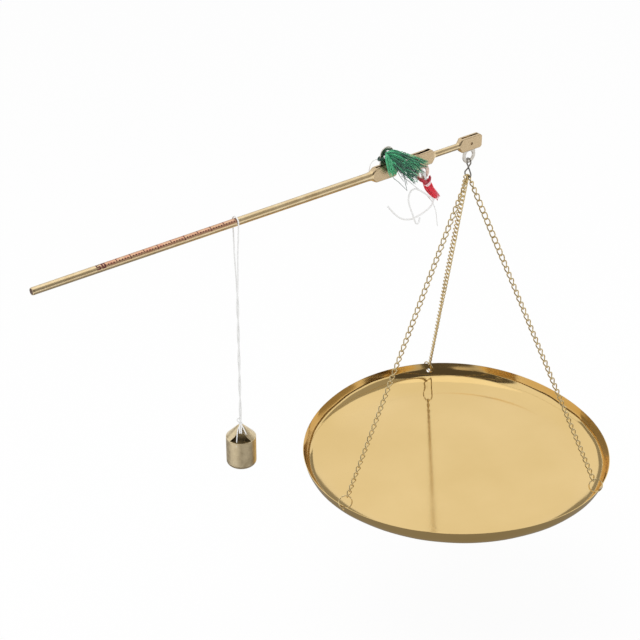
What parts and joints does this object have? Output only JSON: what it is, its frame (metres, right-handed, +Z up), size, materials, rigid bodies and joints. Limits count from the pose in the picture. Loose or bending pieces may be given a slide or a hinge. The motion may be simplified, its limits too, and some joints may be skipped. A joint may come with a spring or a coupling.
{
  "type": "hand steelyard",
  "caption": "Brass hand steelyard: a graduated rod beam on a lifting plate with a tassel, a shallow pan hung on chains and a cylindrical poise on a sliding cord.",
  "frame": {"origin": "centre of the outer lifting plate's eye, where the steelyard is held up", "axes": "+X runs level along the beam from its graduated tip to the pan's end, +Z is up, and +Y goes away from the face that carries the fine scale"},
  "size_m": [0.3985, 0.2, 0.245],
  "materials": {
    "beam_brass": "brushed lengthwise, polished, a little tarnished",
    "pin_brass": "filed flush",
    "scale_red": "dull red lacquer in punched marks",
    "plate_metal": "tumbled, satin",
    "dark_steel": "dark, lightly oiled wire",
    "gilt_chain": "bright gilt",
    "gilt_ring": "bright gilt wire",
    "pan_brass": "polished with fine turning marks",
    "poise_brass": "turned, satin",
    "cotton": "twisted cotton",
    "green_yarn": "loose soft yarn",
    "red_yarn": "loose soft yarn",
    "pink_wrap": "wound thread"
  },
  "bodies": {
    "lift": {"outer_plate": "plate_metal", "green_tassel": "green_yarn", "green_tie": "green_yarn", "loop_thread": "cotton"},
    "beam": {"beam": "beam_brass", "outer_pin": "pin_brass", "inner_pin": "pin_brass", "pan_pin": "pin_brass", "fine_scale": "scale_red", "coarse_scale": "scale_red"},
    "inner_lift": {"inner_plate": "plate_metal", "red_tassel": "red_yarn", "red_band": "pink_wrap", "red_tie": "cotton", "long_cord": "cotton", "curled_cord": "cotton", "thread": "cotton"},
    "end_plate": {"pan_plate": "plate_metal"},
    "hanger": {"hanger_link": "dark_steel"},
    "pan_set": {"pan": "pan_brass", "left_chain": "gilt_chain", "right_chain": "gilt_chain", "rear_chain": "gilt_chain", "left_ring": "gilt_ring", "right_ring": "gilt_ring", "rear_ring": "gilt_ring"},
    "saddle": {"poise_saddle": "cotton"},
    "cord": {"poise_cord": "cotton"},
    "poise": {"poise": "poise_brass", "poise_knot": "cotton"}
  },
  "joints": [
    {"name": "beam_tilt", "type": "hinge", "parent": "lift", "child": "beam", "pos_m": [-0.0017, 0, -0.00802], "axis": [0, 1, 0], "range_deg": [-20, 35]},
    {"name": "inner_plate_swing", "type": "hinge", "parent": "beam", "child": "inner_lift", "pos_m": [0.0266, 0, -0.01142], "axis": [0, 1, 0], "range_deg": [-15, 30]},
    {"name": "pan_plate_swing", "type": "hinge", "parent": "beam", "child": "end_plate", "pos_m": [0.0648, 0, -0.01022], "axis": [0, 1, 0], "range_deg": [-19, 19]},
    {"name": "hanger_swing", "type": "hinge", "parent": "end_plate", "child": "hanger", "pos_m": [0.0648, 0, -0.02055], "axis": [1, 0, 0], "range_deg": [-20, 20]},
    {"name": "pan_swing", "type": "hinge", "parent": "hanger", "child": "pan_set", "pos_m": [0.0648, 0, -0.03235], "axis": [0, 1, 0], "range_deg": [-30, 20]},
    {"name": "poise_slide", "type": "slide", "parent": "beam", "child": "saddle", "axis": [-1, 0, 0], "range_m": [-0.015, 0.12]},
    {"name": "cord_swing", "type": "hinge", "parent": "saddle", "child": "cord", "pos_m": [-0.1072, 0, -0.01022], "axis": [0, 1, 0], "range_deg": [-25, 40]},
    {"name": "poise_swing", "type": "hinge", "parent": "cord", "child": "poise", "pos_m": [-0.1072, 0, -0.1409], "axis": [1, 0, 0], "range_deg": [-30, 30]}
  ]
}
